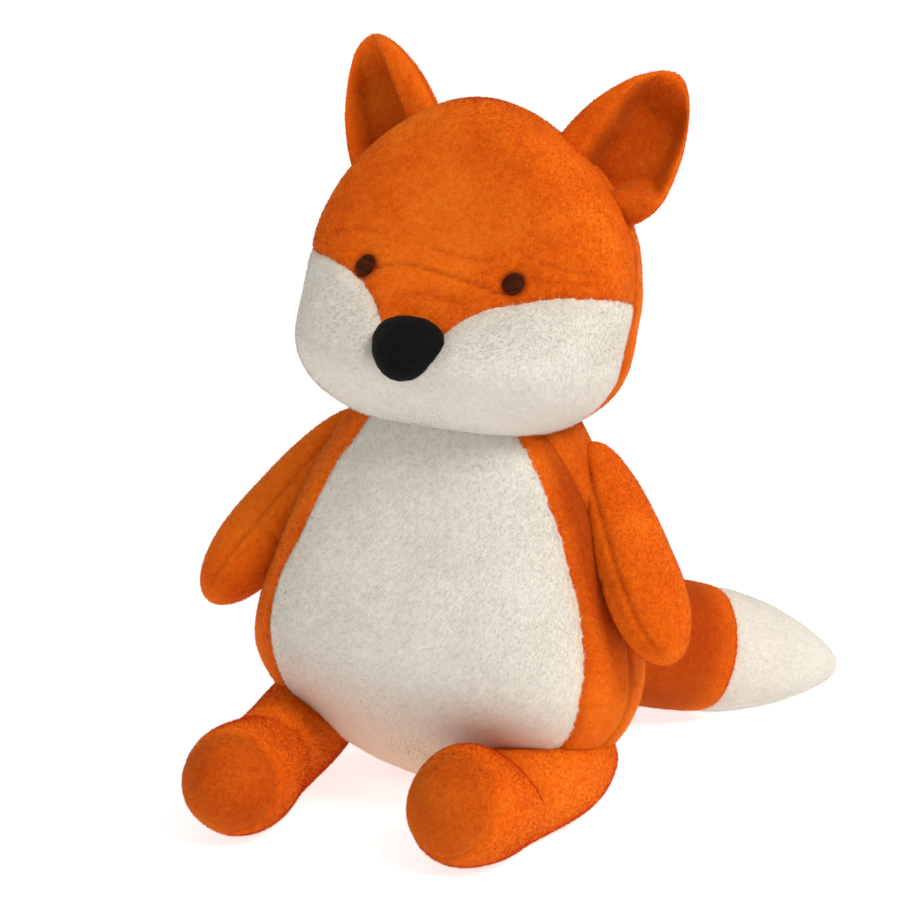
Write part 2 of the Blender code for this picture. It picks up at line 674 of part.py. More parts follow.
def make_tail(make):
    """An orange sleeve and a white tip over fibre filling."""
    presses = (floor_plane(),)
    inside = make.half_space("inside_tail_seat", (0.0, TAIL_SEAT_Y + SEAM_GAP, 0.0), (0.0, -1.0, 0.0))
    upwards = (0.0, 0.0, 1.0)
    form = limb(TAIL_ROOT, TAIL_END, upwards, TAIL_RADIUS, TAIL_ROW_SHARES, TAIL_ROUNDNESS, presses)
    frame = form["frame"]
    along = frame.to_3x3().col[1]
    pivot = make.pivot("tail_pivot", (TAIL_HINGE_X, TAIL_SEAT_Y, TAIL_ROOT[2]))
    seam = Vector(TAIL_ROOT) + along * form["length"] * TAIL_TIP_SHARE
    half_gap = SEAM_GAP / 2.0
    beyond = make.half_space("beyond_tail_seam", seam - along * half_gap, along)
    before = make.half_space("before_tail_seam", seam + along * half_gap, -along)
    hollow = make.hollow("tail_hollow", form, TAIL_FACETS)
    for name, tool, finish_name, finish in (
        ("tail_sleeve", beyond, "orange_pile", ORANGE_PILE),
        ("tail_tip", before, "white_pile", WHITE_PILE),
    ):
        mesh = form_mesh(name, form, TAIL_FACETS)
        piece = make.node(name, mesh, frame, pivot, finish_name, finish)
        cut(piece, hollow)
        cut(piece, tool)
        cut(piece, inside)
    mesh = form_mesh("tail_stuffing", form, TAIL_FACETS, FABRIC + SEAM_GAP)
    fill = make.node("tail_stuffing", mesh, frame, pivot, "fibre_fill", FIBRE_FILL)
    cut(fill, inside)


def main():
    clear_scene()
    make = Maker()
    torso = make.pivot("torso", (0.0, 0.0, 0.0))
    head = make.pivot("neck_pivot", (0.0, HEAD_CENTRE_Y, NECK_Z))
    make_body(make, torso)
    head_space = make_head(make, head)
    make_ear(make, 1.0, "left", EAR_ROOT_LEFT, EAR_TIP_LEFT, head, head_space)
    make_ear(make, -1.0, "right", EAR_ROOT_RIGHT, EAR_TIP_RIGHT, head, head_space)
    make_arm(make, 1.0, "left", ARM_END_LEFT)
    make_arm(make, -1.0, "right", mirrored(ARM_END_RIGHT, -1.0))
    make_leg(make, "left", LEG_HIP_LEFT, LEG_FOOT_LEFT)
    make_leg(make, "right", LEG_HIP_RIGHT, LEG_FOOT_RIGHT)
    make_tail(make)
    make.seat.location = (0.0, -SEAT_Y, 0.0)
    bpy.context.view_layer.update()


main()
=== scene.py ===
"""Seated plush fox: sewn pile covers over stuffed forms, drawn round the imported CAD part.

Metres, +Z up. Each stuffed form is one smooth surface on a grid of shares along and turns round it.
Seams draw the surface in, panels are cut out of it along their borders, and a pile of short fibres
stands on every panel.
"""

import json
import math

import bpy
import numpy as np
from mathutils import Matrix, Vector


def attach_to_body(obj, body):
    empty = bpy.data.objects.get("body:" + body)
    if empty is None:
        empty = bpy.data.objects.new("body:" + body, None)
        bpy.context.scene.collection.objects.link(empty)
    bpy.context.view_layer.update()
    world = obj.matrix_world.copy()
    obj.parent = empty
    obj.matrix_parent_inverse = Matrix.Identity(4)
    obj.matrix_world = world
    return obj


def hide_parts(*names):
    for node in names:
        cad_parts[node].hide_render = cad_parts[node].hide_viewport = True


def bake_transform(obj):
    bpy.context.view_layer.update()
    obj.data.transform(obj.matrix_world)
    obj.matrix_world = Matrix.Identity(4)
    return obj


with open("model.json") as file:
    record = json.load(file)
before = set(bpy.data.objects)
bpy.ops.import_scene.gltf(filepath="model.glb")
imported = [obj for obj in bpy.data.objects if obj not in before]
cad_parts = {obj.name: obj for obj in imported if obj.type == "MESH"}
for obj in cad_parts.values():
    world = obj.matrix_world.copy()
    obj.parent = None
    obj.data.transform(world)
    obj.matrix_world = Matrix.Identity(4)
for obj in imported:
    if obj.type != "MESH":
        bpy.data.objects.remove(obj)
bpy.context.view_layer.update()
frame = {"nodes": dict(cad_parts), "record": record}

MM = 0.001
SEAT_Y = 0.0205

# Forms, as in the CAD part: shares along, of the side, low and high depths, and of the lean
BODY = {
    "start": (0.0, -0.010, 0.0070), "end": (0.0, -0.010, 0.2350), "up": (0.0, 1.0, 0.0),
    "side": 0.106, "low": 0.068, "high": 0.078, "lean": 0.028, "rise": 0.60,
    "rows": (
        (0.00, 0.98, 0.97, 0.97, 0.00), (0.28, 1.00, 1.00, 1.00, 0.07),
        (0.64, 0.80, 0.80, 0.80, 0.50), (1.00, 0.60, 0.62, 0.62, 1.00),
    ),
    "round": (3.2, 2.6, 2.35, 2.1),
}
HEAD = {
    "start": (0.0, 0.0215, 0.185), "end": (0.0, 0.0215, 0.354), "up": (0.0, 1.0, 0.0),
    "side": 0.0888, "low": 0.082, "high": 0.064,
    "rows": (
        (0.00, 1.247, 0.94, 0.70, 0.0), (0.30, 1.000, 1.00, 0.93, 0.0),
        (0.45, 0.980, 0.63, 0.98, 0.0), (0.60, 0.950, 0.42, 1.00, 0.0),
        (0.80, 0.830, 0.36, 0.98, 0.0), (1.00, 0.670, 0.34, 0.95, 0.0),
    ),
    "round": (2.4, 2.4, 2.8, 2.15),
}
ARM = {
    "side": 0.021, "low": 0.021, "high": 0.021, "round": (2.8, 2.4, 2.0, 2.0),
    "rows": (
        (0.00, 0.74, 0.70, 0.70, 0.0), (0.45, 0.94, 0.86, 0.86, 0.0),
        (0.80, 1.12, 1.00, 1.00, 0.0), (1.00, 1.12, 1.06, 1.06, 0.0),
    ),
}
ARM_TOP = (0.0645, 0.0235, 0.1870)
ARM_ENDS = {"left": (0.1290, -0.0190, 0.0950), "right": (-0.1340, -0.0190, 0.0860)}
SHOULDER_SLOPE = math.radians(21.5)
LEG = {"side": 0.0292, "low": 0.0292, "high": 0.0292, "round": (2.8, 5.0, 2.0, 2.0)}
LEG_ROWS = {
    "left": (
        (0.00, 0.98, 0.95, 0.80, 0.0), (0.30, 1.00, 0.98, 0.80, 0.0), (0.58, 0.90, 1.00, 0.68, 0.0),
        (0.76, 1.04, 1.02, 1.08, 0.0), (1.00, 1.04, 1.02, 1.16, 0.0),
    ),
    "right": (
        (0.00, 0.95, 0.95, 1.00, 0.0), (0.35, 0.77, 0.95, 0.95, 0.0), (0.60, 0.78, 0.98, 0.74, 0.0),
        (0.80, 1.00, 1.02, 0.95, 0.0), (1.00, 1.08, 1.02, 1.02, 0.0),
    ),
}
SOLE_DEPTHS = {"left": 0.0135, "right": 0.0180}
SOLE_TILT = 0.35
# Depth of the ankle's fold in mm
ANKLE_DEPTHS = {"left": 4.0, "right": 1.2}
LEG_HIPS = {"left": (0.070, 0.026, 0.0275), "right": (-0.078, 0.026, 0.0340)}
LEG_FEET = {"left": (0.049, -0.116, 0.0295), "right": (-0.060, -0.137, 0.0290)}
TAIL = {
    "start": (-0.0185, 0.0600, 0.0705), "end": (0.1176, 0.2238, 0.0150), "up": (0.0, 0.0, 1.0),
    "side": 0.035, "low": 0.035, "high": 0.035, "round": (4.0, 2.2, 2.0, 2.0),
    "rows": (
        (0.00, 0.72, 0.72, 0.72, 0.0), (0.22, 0.84, 0.84, 0.84, 0.0),
        (0.46, 1.00, 1.00, 1.00, 0.0), (0.75, 0.98, 0.96, 0.98, 0.0),
        (1.00, 0.76, 0.70, 0.76, 0.0),
    ),
}
TAIL_TIP_SHARE = 0.63
HEAD_SEAM_Y = 0.023
HEAD_SEAM_Z = 0.235
HEAD_SEAM_TILT = math.radians(13.0)
BODY_SEAM_Y = -0.006
NOSE_Z = 0.2445
NOSE_HALF_WIDTH = 0.0176
NOSE_HALF_HEIGHT = 0.0166
NOSE_DEPTH = 0.0128
NOSE_NAP_DENSITY = 6.0e6
NOSE_NAP_LENGTH = 0.7 * MM
NOSE_NAP_WIDTH = 0.22 * MM
NOSE_NAP_LEAN = math.radians(50.0)
EYE_SPREAD = 0.041
EYE_Z = 0.2745
EYE_RADIUS = 5.6 * MM

# Border of the orange forehead over the white muzzle: degrees round from the nose, height
FOREHEAD_EDGE = (
    (-110.0, 0.2610), (-95.0, 0.2680), (-78.0, 0.2738), (-64.5, 0.2745), (-55.0, 0.2725), (-42.0, 0.2672),
    (-31.0, 0.2612), (-23.0, 0.2559), (-18.0, 0.2527), (-9.0, 0.2470), (0.0, 0.2440), (8.0, 0.2468),
    (15.0, 0.2527), (22.6, 0.2579), (33.0, 0.2625), (43.0, 0.2652), (61.0, 0.2690), (75.0, 0.2672),
    (91.0, 0.2605), (110.0, 0.2520),
)
# Border of the white tummy on each side: height, distance from the middle
TUMMY_RIGHT = (
    (-0.010, 0.0400), (0.0273, 0.0560), (0.0370, 0.0640), (0.0552, 0.0700), (0.0739, 0.0725),
    (0.0950, 0.0766), (0.1080, 0.0772), (0.1207, 0.0745), (0.1308, 0.0692), (0.1475, 0.0625),
    (0.1680, 0.0545), (0.1774, 0.0505), (0.1878, 0.0438), (0.1975, 0.0387), (0.2300, 0.0250),
)
TUMMY_LEFT = (
    (-0.010, 0.0400), (0.0180, 0.0540), (0.0320, 0.0660), (0.0463, 0.0775), (0.0541, 0.0834),
    (0.0669, 0.0895), (0.0854, 0.0928), (0.1008, 0.0915), (0.1216, 0.0858), (0.1404, 0.0785),
    (0.1539, 0.0728), (0.1647, 0.0669), (0.1774, 0.0600), (0.1907, 0.0504), (0.1975, 0.0445),
    (0.2300, 0.0250),
)
# Wrinkles of the face: depth and width in mm, and the line in X and Z
FACE_WRINKLES = (
    (0.9, 1.1, (
        (-0.0350, 0.2745), (-0.0240, 0.2768), (-0.0119, 0.2771), (0.0078, 0.2745), (0.0230, 0.2722),
        (0.0370, 0.2700),
    )),
    (0.7, 1.2, ((0.0500, 0.2775), (0.0590, 0.2752), (0.0690, 0.2760), (0.0790, 0.2745))),
    (0.6, 1.1, ((0.0520, 0.2840), (0.0640, 0.2812), (0.0780, 0.2802))),
    (0.5, 1.3, ((0.0420, 0.2980), (0.0540, 0.2935), (0.0660, 0.2925))),
    (0.6, 1.6, ((-0.0180, 0.2640), (0.0010, 0.2655), (0.0200, 0.2640))),
    (0.5, 1.4, ((-0.0660, 0.2860), (-0.0500, 0.2905), (-0.0330, 0.2900))),
    (0.5, 1.5, ((-0.0050, 0.2860), (0.0110, 0.2835), (0.0280, 0.2830))),
)


def linear(code):
    """Scene-linear colour of a #RRGGBB code."""
    values = [int(code[i:i + 2], 16) / 255.0 for i in (1, 3, 5)]
    return tuple(v / 12.92 if v <= 0.04045 else ((v + 0.055) / 1.055) ** 2.4 for v in values) + (1.0,)


def smooth(low, high, x):
    """0 below low, 1 above high, and a smooth step between."""
    t = np.clip((x - low) / (high - low), 0.0, 1.0)
    return t * t * (3.0 - 2.0 * t)


def unit(v):
    """The vectors at length 1."""
    v = np.asarray(v, float)
    return v / np.maximum(np.linalg.norm(v, axis=-1, keepdims=True), 1e-12)


def noise(points, size, seed):
    """Smooth random values from -1 to 1, whose lumps are about size across."""
    table = np.random.default_rng(seed).uniform(-1.0, 1.0, (32, 32, 32))
    p = points / size
    base = np.floor(p).astype(int)
    t = p - base
    t = t * t * (3.0 - 2.0 * t)
    total = np.zeros(points.shape[:-1])
    for corner in range(8):
        offset = np.array((corner & 1, corner >> 1 & 1, corner >> 2 & 1))
        weight = np.prod(np.where(offset, t, 1.0 - t), axis=-1)
        i, j, k = np.moveaxis((base + offset) % 32, -1, 0)
        total += weight * table[i, j, k]
    return total


def row_values(rows, shares):
    """Each column of the rows at the given shares, on a smooth curve through them."""
    rows = np.array(rows, float)
    x, y = rows[:, 0], rows[:, 1:]
    slopes = np.empty_like(y)
    slopes[1:-1] = (y[2:] - y[:-2]) / (x[2:] - x[:-2])[:, None]
    slopes[0] = (y[1] - y[0]) / (x[1] - x[0])
    slopes[-1] = (y[-1] - y[-2]) / (x[-1] - x[-2])
    i = np.clip(np.searchsorted(x, shares, side="right") - 1, 0, len(x) - 2)
    step = x[i + 1] - x[i]
    t = ((shares - x[i]) / step)[..., None]
    step = step[..., None]
    value = (2 * t**3 - 3 * t**2 + 1) * y[i] + (t**3 - 2 * t**2 + t) * step * slopes[i]
    return value + (3 * t**2 - 2 * t**3) * y[i + 1] + (t**3 - t**2) * step * slopes[i + 1]


def signed_power(value, exponent):
    """The power of the value's size, with the value's sign."""
    return np.sign(value) * np.abs(value) ** exponent


def form_frame(form):
    """The form's start, its three axes (side, along, up) and its length."""
    start, end = np.array(form["start"], float), np.array(form["end"], float)
    length = np.linalg.norm(end - start)
    along = (end - start) / length
    up = np.array(form["up"], float)
    up = unit(up - along * along.dot(up))
    return start, np.array((np.cross(along, up), along, up)), length


def form_points(form, shares, turns):
    """Points of a form at shares of its length and turns round it.

    Each cross-section is a superellipse with its own squareness above and below. Its reach is the
    row values there times sqrt(1 - |2 share - 1|^p), which closes both ends."""
    start, axes, length = form_frame(form)
    rows = row_values(form["rows"], shares)
    low_power, high_power, low_square, high_square = form["round"]
    reach = 2.0 * shares - 1.0
    exponent = np.where(reach < 0.0, low_power, high_power)
    envelope = np.sqrt(np.clip(1.0 - np.abs(reach) ** exponent, 0.0, 1.0))
    c, s = np.cos(turns), np.sin(turns)
    square = np.where(s > 0.0, high_square, low_square)
    across, upward = signed_power(c, 2.0 / square), signed_power(s, 2.0 / square)
    depth = np.where(s > 0.0, form["high"] * rows[..., 2], form["low"] * rows[..., 1])
    side = form["side"] * rows[..., 0] * envelope * across
    up = depth * envelope * upward + form.get("lean", 0.0) * rows[..., 3]
    along = length * shares - form.get("rise", 0.0) * depth * envelope * upward * (1.0 - shares) ** 3
    return start + np.stack((side, along, up), -1) @ axes


def grid_triangles(rows, columns):
    """Triangles of a tube of rows by columns points whose first and last rows are single poles."""
    ring = np.arange(columns)
    after = (ring + 1) % columns
    parts = []
    first = 1 + np.arange(rows - 3)[:, None] * columns
    a, b, c, d = first + ring, first + after, first + columns + after, first + columns + ring
    parts.append(np.stack((a, b, c), -1).reshape(-1, 3))
    parts.append(np.stack((a, c, d), -1).reshape(-1, 3))
    parts.append(np.stack((np.zeros(columns, int), 1 + after, 1 + ring), -1))
    last = 1 + (rows - 2) * columns
    ring_last = last - columns
    parts.append(np.stack((np.full(columns, last), ring_last + ring, ring_last + after), -1))
    return np.concatenate(parts)


def outward(points, triangles):
    """The triangles, all turned over if they enclose a negative volume."""
    a, b, c = (points[triangles[:, i]] for i in range(3))
    return triangles if (a * np.cross(b, c)).sum() > 0.0 else triangles[:, ::-1]


def normals_of(points, triangles):
    """Unit normal of each point, from the areas of the triangles round it."""
    a, b, c = (points[triangles[:, i]] for i in range(3))
    face = np.cross(b - a, c - a)
    total = np.zeros_like(points)
    for i in range(3):
        for axis in range(3):
            total[:, axis] += np.bincount(triangles[:, i], face[:, axis], len(points))
    return unit(total)


def form_surface(form, rows, columns):
    """The closed surface of a form: points, triangles, and each point's share and turn."""
    steps = np.linspace(0.0, 1.0, rows)
    along = (1.0 - np.cos(np.pi * steps)) / 2.0
    turn = np.arange(columns) / columns * 2.0 * np.pi
    shares = np.concatenate(((0.0,), np.repeat(along[1:-1], columns), (1.0,)))
    turns = np.concatenate(((0.0,), np.tile(turn, rows - 2), (0.0,)))
    points = form_points(form, shares, turns)
    triangles = outward(points, grid_triangles(rows, columns))
    return points, triangles, shares, turns


def cut(data, triangles, field):
    """The part of a surface where field is positive, with its edge on the line where field is 0.

    Each row of data holds a point and whatever else goes with it, all of which is interpolated."""
    inside = field > 0.0
    count = inside[triangles].sum(1)
    new_data, new_triangles, made = [data], [triangles[count == 3]], len(data)
    for wanted in (1, 2):
        some = triangles[count == wanted]
        if not len(some):
            continue
        flags = inside[some] if wanted == 1 else ~inside[some]
        roll = (np.argmax(flags, 1)[:, None] + np.arange(3)) % 3
        some = np.take_along_axis(some, roll, 1)
        apex, left, right = some.T
        cuts = []
        for other in (left, right):
            t = field[apex] / (field[apex] - field[other])
            new_data.append(data[apex] + (data[other] - data[apex]) * t[:, None])
            cuts.append(made + np.arange(len(some)))
            made += len(some)
        if wanted == 1:
            new_triangles.append(np.stack((apex, cuts[0], cuts[1]), -1))
        else:
            new_triangles.append(np.stack((cuts[0], left, right), -1))
            new_triangles.append(np.stack((cuts[0], right, cuts[1]), -1))
    data, triangles = np.concatenate(new_data), np.concatenate(new_triangles)
    used, index = np.unique(triangles, return_inverse=True)
    return data[used], index.reshape(-1, 3)


def line_distance(line, x, z):
    """Distance from the points to a line through points in X and Z."""
    p = np.stack((x, z), -1)
    best = np.full(len(p), 1e9)
    line = np.array(line)
    for a, b in zip(line[:-1], line[1:]):
        d = b - a
        t = np.clip(((p - a) @ d) / (d @ d), 0.0, 1.0)
        best = np.minimum(best, np.linalg.norm(p - a - t[:, None] * d, axis=1))
    return best


def border_value(rows, at):
    """A border's table read at the given values, and its slope there."""
    step = 1e-3 * (rows[-1][0] - rows[0][0])
    at = np.clip(at, rows[0][0] + step, rows[-1][0] - step)
    read = lambda v: row_values(rows, v)[..., 0]
    return read(at), (read(at + step) - read(at - step)) / (2.0 * step)


def seam_dip(distance, depth, width):
    """How far a seam draws the surface in at a distance from it."""
    return depth * np.exp(-((distance / width) ** 2)) + 0.35 * depth * np.exp(-np.abs(distance) / (3.0 * width))


# Materials


def add(tree, kind, inputs=None, **settings):
    """Adds a shader node with its settings, and links or sets its inputs."""
    node = tree.nodes.new(kind)
    for key, value in settings.items():
        setattr(node, key, value)
    for key, value in (inputs or {}).items():
        if isinstance(value, bpy.types.NodeSocket):
            tree.links.new(value, node.inputs[key])
        else:
            node.inputs[key].default_value = value
    return node


def mix(tree, factor, a, b):
    """Colour a at factor 0 and colour b at factor 1."""
    node = tree.nodes.new("ShaderNodeMix")
    node.data_type = "RGBA"
    for socket, value in ((node.inputs[0], factor), (node.inputs[6], a), (node.inputs[7], b)):
        if isinstance(value, bpy.types.NodeSocket):
            tree.links.new(value, socket)
        else:
            socket.default_value = value
    return node.outputs[2]


def ramp(tree, factor, low, high):
    """Maps a factor from the range low to high onto 0 to 1."""
    node = add(tree, "ShaderNodeMapRange", {"Value": factor, "From Min": low, "From Max": high})
    return node.outputs["Result"]


def new_material(name):
    """A material with its node tree and its one shader."""
    made = bpy.data.materials.new(name)
    made.use_nodes = True
    return made, made.node_tree, made.node_tree.nodes["Principled BSDF"]


def plush(name, seam, dark, middle, light, rim, sheen, root, relief):
    """Short plush: darker with the painted shade and between the fibres, lighter where the nap stands up.

    Broad, middling and fine noise add up to how far the nap is turned over. Attribute "tip" runs from
    0 at the backing to 1 at a fibre's end, and "shade" differs from fibre to fibre. Root is the share of
    light that reaches the backing, and relief the height of the nap's unevenness. A third attribute
    holds painted shade, which mixes in the colour seam."""
    made, tree, shader = new_material(name)
    coordinates = add(tree, "ShaderNodeTexCoord").outputs["Object"]
    tip_share = add(tree, "ShaderNodeAttribute", attribute_name="tip").outputs["Fac"]
    shade = add(tree, "ShaderNodeAttribute", attribute_name="shade").outputs["Fac"]
    painted_shade = add(tree, "ShaderNodeAttribute", attribute_name="painted_shade").outputs["Fac"]
    total = shade
    weights = ((17.0, 1.0, 0.9), (70.0, 2.0, 0.35), (330.0, 3.0, 0.45), (900.0, 2.0, 0.6))
    for scale, detail, weight in weights:
        settings = {"Vector": coordinates, "Scale": scale, "Detail": detail, "Distortion": 0.4}
        field = add(tree, "ShaderNodeTexNoise", settings).outputs["Fac"]
        levels = {"Value": field, "From Min": 0.3, "From Max": 0.7, "To Max": weight}
        spread = add(tree, "ShaderNodeMapRange", levels).outputs["Result"]
        total = add(tree, "ShaderNodeMath", {0: total, 1: spread}, operation="ADD").outputs[0]
    whole = 1.0 + sum(weight for _, _, weight in weights)
    body = mix(tree, ramp(tree, total, 0.20 * whole, 0.52 * whole), dark, middle)
    body = mix(tree, ramp(tree, total, 0.48 * whole, 0.82 * whole), body, light)
    depth = add(tree, "ShaderNodeMapRange", {"Value": tip_share, "From Max": 0.8, "To Min": root, "To Max": 1.02})
    tinted = add(tree, "ShaderNodeVectorMath", {0: body, 1: depth.outputs["Result"]}, operation="MULTIPLY")
    # Painted shade: mixes the plush towards the colour seam.
    coloured = mix(tree, painted_shade, tinted.outputs[0], seam)
    tree.links.new(coloured, shader.inputs["Base Color"])
    shader.inputs["Roughness"].default_value = 0.9
    shader.inputs["Specular IOR Level"].default_value = 0.12
    shader.inputs["Sheen Weight"].default_value = sheen
    shader.inputs["Sheen Roughness"].default_value = 0.5
    shader.inputs["Sheen Tint"].default_value = rim
    bump = add(tree, "ShaderNodeBump", {"Height": total, "Strength": 0.5, "Distance": relief})
    tree.links.new(bump.outputs["Normal"], shader.inputs["Normal"])
    return made


def thread_material(name):
    """Embroidery: glossy dark-brown thread laid side by side, lighter where it turns to the light."""
    made, tree, shader = new_material(name)
    shade = add(tree, "ShaderNodeAttribute", attribute_name="shade").outputs["Fac"]
    colour = mix(tree, shade, linear("#2E0F04"), linear("#52200A"))
    tree.links.new(colour, shader.inputs["Base Color"])
    shader.inputs["Roughness"].default_value = 0.5
    shader.inputs["Specular IOR Level"].default_value = 0.08
    return made


def velour(name):
    """Nose cloth: near-black velour with a dense short nap and a faint grey bloom."""
    made, tree, shader = new_material(name)
    coordinates = add(tree, "ShaderNodeTexCoord").outputs["Object"]
    settings = {"Vector": coordinates, "Scale": 900.0, "Detail": 4.0, "Roughness": 0.7}
    fine = add(tree, "ShaderNodeTexNoise", settings)
    patches = add(tree, "ShaderNodeTexNoise", {"Vector": coordinates, "Scale": 130.0, "Detail": 3.0})
    both = add(tree, "ShaderNodeMath", {0: fine.outputs["Fac"], 1: patches.outputs["Fac"]}, operation="ADD")
    colour = mix(tree, ramp(tree, both.outputs[0], 0.6, 1.4), linear("#040404"), linear("#110F0F"))
    tree.links.new(colour, shader.inputs["Base Color"])
    shader.inputs["Roughness"].default_value = 0.9
    shader.inputs["Specular IOR Level"].default_value = 0.12
    shader.inputs["Sheen Weight"].default_value = 0.03
    shader.inputs["Sheen Roughness"].default_value = 0.5
    bump = add(tree, "ShaderNodeBump", {"Height": fine.outputs["Fac"], "Strength": 0.7, "Distance": 0.0005})
    tree.links.new(bump.outputs["Normal"], shader.inputs["Normal"])
    return made


def filling(name):
    """Loose polyester fibre: off-white tangled strands, seen only in a seam's depth."""
    made, tree, shader = new_material(name)
    coordinates = add(tree, "ShaderNodeTexCoord").outputs["Object"]
    strands = add(tree, "ShaderNodeTexNoise", {"Vector": coordinates, "Scale": 260.0, "Detail": 6.0})
    colour = mix(tree, strands.outputs["Fac"], linear("#C9C8C4"), linear("#F2F2EF"))
    tree.links.new(colour, shader.inputs["Base Color"])
    shader.inputs["Roughness"].default_value = 0.95
    bump = add(tree, "ShaderNodeBump", {"Height": strands.outputs["Fac"], "Strength": 0.8, "Distance": 0.001})
    tree.links.new(bump.outputs["Normal"], shader.inputs["Normal"])
    return made


# seam is the painted shade's colour; the white's warm peach also paints light bounced up from legs and floor.
ORANGE = plush(
    "orange_plush", seam=linear("#841C00"), dark=linear("#C84800"), middle=linear("#EA6305"),
    light=linear("#F6821A"), rim=linear("#FFA030"), sheen=0.42, root=0.86, relief=0.18 * MM,
)
WHITE = plush(
    "white_plush", seam=linear("#EBBF94"), dark=linear("#D6CFC3"), middle=linear("#DDD7CC"),
    light=linear("#E2DCD2"), rim=linear("#FFF6E8"), sheen=0.10, root=0.95, relief=0.08 * MM,
)
THREAD = thread_material("embroidery_thread")
VELOUR = velour("black_velour")
FILL = filling("polyester_fibre")
ORANGE_CLOTH = (ORANGE, "orange_pile")
WHITE_CLOTH = (WHITE, "white_pile")


# Making pieces


def mesh_piece(name, points, triangles, material, attributes=None, facing=None):
    """A mesh object at the origin, from points before the shift that puts the seat at the origin."""
    mesh = bpy.data.meshes.new(name)
    placed = (points - np.array((0.0, SEAT_Y, 0.0))).astype(np.float32)
    mesh.vertices.add(len(placed))
    mesh.vertices.foreach_set("co", placed.ravel())
    mesh.loops.add(triangles.size)
    mesh.loops.foreach_set("vertex_index", triangles.astype(np.int32).ravel())
    mesh.polygons.add(len(triangles))
    mesh.polygons.foreach_set("loop_start", np.arange(0, triangles.size, 3, dtype=np.int32))
    mesh.polygons.foreach_set("use_smooth", np.ones(len(triangles), bool))
    mesh.update(calc_edges=True)
    for key, values in (attributes or {}).items():
        data = mesh.attributes.new(key, "FLOAT", "POINT")
        data.data.foreach_set("value", values.astype(np.float32))
    if facing is not None:
        mesh.normals_split_custom_set_from_vertices(facing.astype(np.float32))
    mesh.materials.append(material)
    made = bpy.data.objects.new(name, mesh)
    bpy.context.scene.collection.objects.link(made)
    return made


def fibres(data, triangles, density, length, width, lean, flow, seed):
    """One narrow leaf for each fibre: its root stands on the surface and its tip leans with the nap.

    The tip is the root plus length times the normal turned by the lean towards the flow, and both
    the lean and the flow wander a little from fibre to fibre."""
    random = np.random.default_rng(seed)
    a, b, c = (data[triangles[:, i], :3] for i in range(3))
    area = np.linalg.norm(np.cross(b - a, c - a), axis=1) / 2.0
    count = int(area.sum() * density)
    pick = random.choice(len(area), count, p=area / area.sum())
    u, v = random.random((2, count, 1))
    u, v = np.where(u + v > 1.0, 1.0 - u, u), np.where(u + v > 1.0, 1.0 - v, v)
    corners = triangles[pick]
    here = data[corners[:, 0]] * (1.0 - u - v) + data[corners[:, 1]] * u + data[corners[:, 2]] * v
    root, normal, painted_shade = here[:, :3], unit(here[:, 3:6]), here[:, 6]
    way = flow(root) + random.normal(0.0, 0.45, (count, 3))
    way = unit(way - normal * (way * normal).sum(1)[:, None])
    across = np.cross(normal, way)
    angle = lean + random.normal(0.0, 0.22, (count, 1))
    reach = length * random.uniform(0.65, 1.2, (count, 1)) * (1.0 - 0.35 * painted_shade[:, None])
    tip = root + (normal * np.cos(angle) + way * np.sin(angle)) * reach
    root = root - normal * length * 0.15
    half = across * width * random.uniform(0.7, 1.2, (count, 1)) / 2.0
    verts = np.stack((root + half, root - half, tip), 1).reshape(-1, 3)
    own = unit(np.cross(tip - root, half))
    facing = unit(normal + 0.12 * own * np.sign((own * normal).sum(1))[:, None])
    # Tip shares: the plush darkens the roots as painted shade between the fibres.
    ends = np.tile((0.15, 0.15, 1.0), count)
    attributes = {"tip": ends, "shade": np.repeat(random.random(count), 3), "painted_shade": np.repeat(painted_shade, 3)}
    return verts, np.repeat(facing, 3, 0), attributes


def fibre_piece(name, verts, facing, material, attributes):
    """All fibres of a panel as one mesh, shaded with the surface that they stand on."""
    faces = np.arange(len(verts)).reshape(-1, 3)
    return mesh_piece(name, verts, faces, material, attributes, facing)


def downward(root):
    """The nap lies downwards and wanders slowly from place to place."""
    wander = np.stack([noise(root, 0.035, seed) for seed in (11, 12, 13)], -1)
    return np.array((0.0, 0.0, -1.0)) + wander * 0.8


def attach(piece, bodies, line):
    """Rides on the first body, or, given a line, stays where it is with its transform baked into its points."""
    if line:
        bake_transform(piece)
    else:
        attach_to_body(piece, bodies[0])
    return piece


PILE_DENSITY = 4.2e6
PILE_LENGTH = 1.5 * MM
PILE_WIDTH = 0.26 * MM
PILE_LEAN = math.radians(58.0)
TUFT_DENSITY = 3.0e6
TUFT_LENGTH = 2.4 * MM
TUFT_WIDTH = 0.22 * MM
TUFT_LEAN = math.radians(66.0)
TUFT_REACH = 1.6 * MM
# Tip share of the backing, which the plush darkens as painted shade between the fibres.
BACKING_TIP = 0.12
BORDER_RAGGED = 0.55 * MM
BORDER_RAGGED_SIZE = 0.0018


